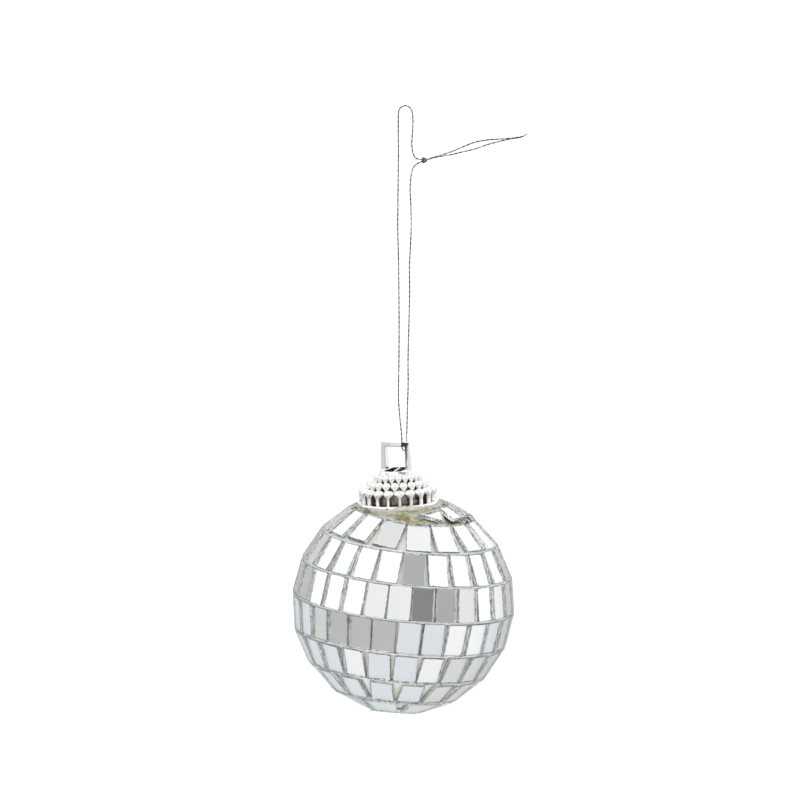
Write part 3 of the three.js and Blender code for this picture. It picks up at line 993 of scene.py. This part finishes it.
def cap_beads():
    bm = bmesh.new()
    for number, (radius, ring, height, ledge, turn) in enumerate(TIERS):
        shape = headed_rib if number == 2 else round_bead
        for i in range(BEAD_COUNT):
            azimuth = 2 * math.pi * i / BEAD_COUNT + math.radians(turn)
            lofted(bm, shape(radius, height, ledge), ring, azimuth)
    return bpy.data.objects.new("beads", finished("beads", bm))


def cap_body():
    """Boss, ledges and rim, with the stem below; the underside is hollow round the stem."""
    profile = [(0, BOSS_TOP), *arc((3.65, BOSS_TOP - 0.15), 0.15, 90, 0, 6)]
    profile += [(3.8, 6.1), (4.3, 5.9), (4.3, 5.0), (5.6, 4.8), (5.6, 3.5), (6.9, 3.3), (7.2, 2.9)]
    profile += [(7.3, 0.5), (7.6, 0.36)]
    profile += [*arc((8.85, 0.05), 0.3, 90, 0, 6), *arc((8.85, -0.35), 0.3, 0, -90, 5)]
    profile += [(7.4, -0.65), (7.1, -0.3), (7.1, 2.2), (2.8, 2.2), (2.8, -5), (2.0, -7), (0, -7)]
    mesh = turned_mesh("cap_body", profile, 160)
    return new_object("cap_plated", mesh)


def boss_hollow():
    """The hollow in the top of the boss, which lies between the eye's legs."""
    floor = BOSS_TOP - POCKET_DEPTH
    above = BOSS_TOP + 1.6
    profile = [(0, floor), (POCKET_RADIUS, floor), (POCKET_RADIUS, above), (0, above)]
    hollow = turned_mesh("boss_hollow", profile, 96)
    reach = POCKET_HALF_WIDTH * MM
    for vertex in hollow.vertices:
        vertex.co.x = max(-reach, min(reach, vertex.co.x))
    hollow.transform(Matrix.Rotation(math.radians(EYE_YAW), 4, "Z"))
    return bpy.data.objects.new("boss_hollow", hollow)


def frame_side(start, end, count):
    return [(start[0] + (end[0] - start[0]) * i / count, start[1] + (end[1] - start[1]) * i / count)
            for i in range(count)]


def frame_loop(corners, count):
    points = []
    for start, end in zip(corners, corners[1:] + corners[:1]):
        points += frame_side(start, end, count)
    return points


def cap_eye():
    """The square eye: rounded edges, its face slightly domed, its feet in the pocket's floor."""
    floor = BOSS_TOP - POCKET_DEPTH
    foot, sill, count = floor - 0.6, floor - 0.1, 8
    half, window = EYE_HALF_WIDTH, WINDOW_HALF_WIDTH
    outer = [(-half - EYE_SPREAD, foot), (half + EYE_SPREAD, foot), (half, EYE_TOP), (-half, EYE_TOP)]
    inner = [(-window, sill), (window, sill), (window, WINDOW_TOP), (-window, WINDOW_TOP)]
    outer_loop, inner_loop = frame_loop(outer, count), frame_loop(inner, count)
    bm = bmesh.new()
    rings = []
    for y in (-EYE_DEPTH / 2, EYE_DEPTH / 2):
        rings.append([bm.verts.new((x * MM, y * MM, z * MM)) for x, z in outer_loop])
        rings.append([bm.verts.new((x * MM, y * MM, z * MM)) for x, z in inner_loop])
    front_out, front_in, back_out, back_in = rings
    total = len(front_out)
    for i in range(total):
        j = (i + 1) % total
        bm.faces.new((front_out[i], front_out[j], front_in[j], front_in[i]))
        bm.faces.new((back_out[j], back_out[i], back_in[i], back_in[j]))
        bm.faces.new((front_out[j], front_out[i], back_out[i], back_out[j]))
        bm.faces.new((front_in[i], front_in[j], back_in[j], back_in[i]))
    bmesh.ops.recalc_face_normals(bm, faces=bm.faces)
    sharp = [edge for edge in bm.edges if edge.calc_face_angle(0) > math.radians(40)]
    bmesh.ops.bevel(bm, geom=sharp, offset=0.22 * MM, segments=4, profile=0.6, affect="EDGES")
    for vertex in bm.verts:
        vertex.co.y += EYE_DOME * vertex.co.x ** 2 / MM
    bmesh.ops.recalc_face_normals(bm, faces=bm.faces)
    bmesh.ops.rotate(bm, verts=bm.verts, matrix=Matrix.Rotation(math.radians(EYE_YAW), 3, "Z"))
    return bpy.data.objects.new("cap_eye", finished("cap_eye", bm))


def pocket_rib():
    """The rib that halves the hollow in the top of the boss."""
    bm = bmesh.new()
    bmesh.ops.create_cube(bm, size=MM)
    bmesh.ops.scale(bm, verts=bm.verts, vec=(POCKET_RIB_WIDTH, 2 * POCKET_RADIUS + 0.2, POCKET_DEPTH + 0.2))
    bmesh.ops.bevel(bm, geom=bm.edges[:], offset=0.12 * MM, segments=3, affect="EDGES")
    bmesh.ops.rotate(bm, verts=bm.verts, matrix=Matrix.Rotation(math.radians(POCKET_RIB_TURN), 3, "Z"))
    bmesh.ops.translate(bm, verts=bm.verts, vec=(0, 0, (BOSS_TOP - 0.1 - POCKET_DEPTH / 2) * MM))
    return bpy.data.objects.new("pocket_rib", finished("pocket_rib", bm))


def window_edge_shade_share(x, y, z):
    """How near a point lies to the front edge of the eye's window, where a thin line of painted shade darkens
    the plating.
    """
    yaw = math.radians(EYE_YAW)
    across = x * math.cos(yaw) + y * math.sin(yaw)
    behind = y * math.cos(yaw) - x * math.sin(yaw) - EYE_DOME * across ** 2
    if behind > -0.8:
        return 0.0
    past_edge = max(abs(across) - WINDOW_HALF_WIDTH, z - WINDOW_TOP)
    return 0.7 * smooth_step(1.2 - abs(past_edge - 0.06) / 0.12)


def shaded_recess_share(x, y, z):
    """How far a point, in millimetres, lies inside the recesses of the cap, which are coloured as brown bare
    plastic darkened by painted shade.
    """
    out = math.hypot(x, y)
    # painted shade: the hollow in the top of the boss is coloured dark brown
    if BOSS_TOP - POCKET_DEPTH - 0.1 < z < BOSS_TOP - 0.1 and out < POCKET_RADIUS + 0.05:
        return 0.9
    if z > BOSS_TOP + 0.2:
        return window_edge_shade_share(x, y, z)
    share = 0.0
    # painted shade: the gaps under and between the beads are coloured dark brown
    for radius, ring, height, ledge, _ in TIERS:
        if z > ledge - 0.12:
            below = smooth_step((height - 0.15 - z) / 0.5)
            inside = smooth_step((ring + 0.45 * radius - out) / 0.35)
            deep_shade = smooth_step((ring - 0.05 * radius - out) / 0.2) if z < height + 0.1 else 0.0
            share = max(share, below * inside, deep_shade)
    return share


def make_cap():
    cap = cap_body()
    for part, operation in ((cap_beads(), "UNION"), (boss_hollow(), "DIFFERENCE"),
                            (cap_eye(), "UNION"), (pocket_rib(), "UNION")):
        bpy.context.scene.collection.objects.link(part)
        boolean(cap, part, operation)
    # painted shade: this mask colours the recesses dark brown and dull
    shaded_bare_recess = cap.data.attributes.new("shaded_bare_recess", "FLOAT", "POINT")
    for vertex, value in zip(cap.data.vertices, shaded_bare_recess.data):
        value.value = shaded_recess_share(*(vertex.co / MM))
    cap.data.transform(cap_frame)
    cap.data.materials.clear()
    cap.data.materials.append(MATERIALS["plating"])
    shade_by_angle(cap.data, 35)
    keep_flats(cap)
    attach(cap, "ball")
    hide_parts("cap")


# --- surroundings ---

def glow_material(name, value):
    material = bpy.data.materials.new(name)
    material.use_nodes = True
    tree = material.node_tree
    tree.nodes.clear()
    glow = tree.nodes.new("ShaderNodeEmission")
    glow.inputs["Color"].default_value = (*(value if isinstance(value, tuple) else grey(value)), 1)
    output = tree.nodes.new("ShaderNodeOutputMaterial")
    tree.links.new(glow.outputs["Emission"], output.inputs["Surface"])
    return material


def hide_from_camera(obj):
    obj.visible_camera = False
    obj.visible_diffuse = False
    obj.visible_shadow = False


def flag(name, left, right, low, high, value):
    """A curved grey studio flag that only reflections see; its edges are angles in degrees."""
    radius = 1.2
    across = 12
    verts = []
    for i in range(across + 1):
        azimuth = math.radians(left + (right - left) * i / across)
        for elevation in (math.radians(low), math.radians(high)):
            out = Vector((math.sin(azimuth) * math.cos(elevation),
                          -math.cos(azimuth) * math.cos(elevation), math.sin(elevation)))
            verts.append(ball_centre + out * radius)
    faces = [(2 * i, 2 * i + 2, 2 * i + 3, 2 * i + 1) for i in range(across)]
    hide_from_camera(new_object(name, mesh_from(name, verts, faces), [glow_material(name, value)]))


def make_floor():
    size, depth = 8.0, -1.6
    corners = [(-size, -size, depth), (size, -size, depth), (size, size, depth), (-size, size, depth)]
    mesh = mesh_from("floor", corners, [(0, 1, 2, 3)])
    hide_from_camera(new_object("floor", mesh, [glow_material("floor", (0.76, 0.79, 0.82))]))


def make_world():
    world = bpy.data.worlds.new("studio")
    bpy.context.scene.world = world
    world.use_nodes = True
    background = world.node_tree.nodes["Background"]
    background.inputs["Color"].default_value = (1, 1, 1, 1)
    background.inputs["Strength"].default_value = 1.12
    bpy.context.scene.view_settings.view_transform = "Standard"


# Panels round the ball: azimuth from and to, elevation from and to, grey or colour
FLAGS = {
    "ceiling": (-130, -40, 70, 87, 0.82),
    "ceiling_rest": (-40, 230, 70, 87, 0.965),
    "zenith": (-180, 180, 87, 90, 0.965),
    "high": (2, 30, 37, 56, 0.46),
    "near_front": (-45, 10, 5, 17, 0.90),
    "lens": (10, 34, 0, 17, 0.26),
    "lens_right": (34, 60, -2, 14, 0.44),
    "near_left": (-86, -58, -15, -4, 0.66),
    "near_dark": (-37, -29.7, -15, -4, 0.04),
    "near_brown": (-29.7, -28.5, -15, -4, (0.20, 0.12, 0.08)),
    "near_pale": (-28.5, -12, -15, -4, 0.78),
    "back_side": (121, 140, -16, -4, 0.95),
    "left": (-92, -12, -34, -16, (0.53, 0.52, 0.51)),
    "far_left": (-118, -92, -26, -8, 0.68),
    "back_left": (-170, -120, -6, 9, 0.55),
    "back_left_high": (-170, -126, 9, 27, 0.70),
    "back_right": (140, 172, -28, 8, 0.66),
    "right_low": (50, 112, -40, -20, 0.96),
    "floor_left": (-112, -64, -58, -42, 0.93),
    "floor_front": (35, 76, -72, -57, 0.92),
    "floor_right": (84, 165, -60, -28, 0.72),
    "side_right": (60, 90, -8, 8, 0.84),
}


def make_studio():
    make_world()
    make_floor()
    for name, (left, right, low, high, value) in FLAGS.items():
        flag(f"flag_{name}", left, right, low, high, value)


make_camera()
make_materials()
make_thread()
make_cap()
make_rows()
make_loose_tiles()
make_offcuts()
make_tapes()
make_foam()
make_glue()
make_studio()
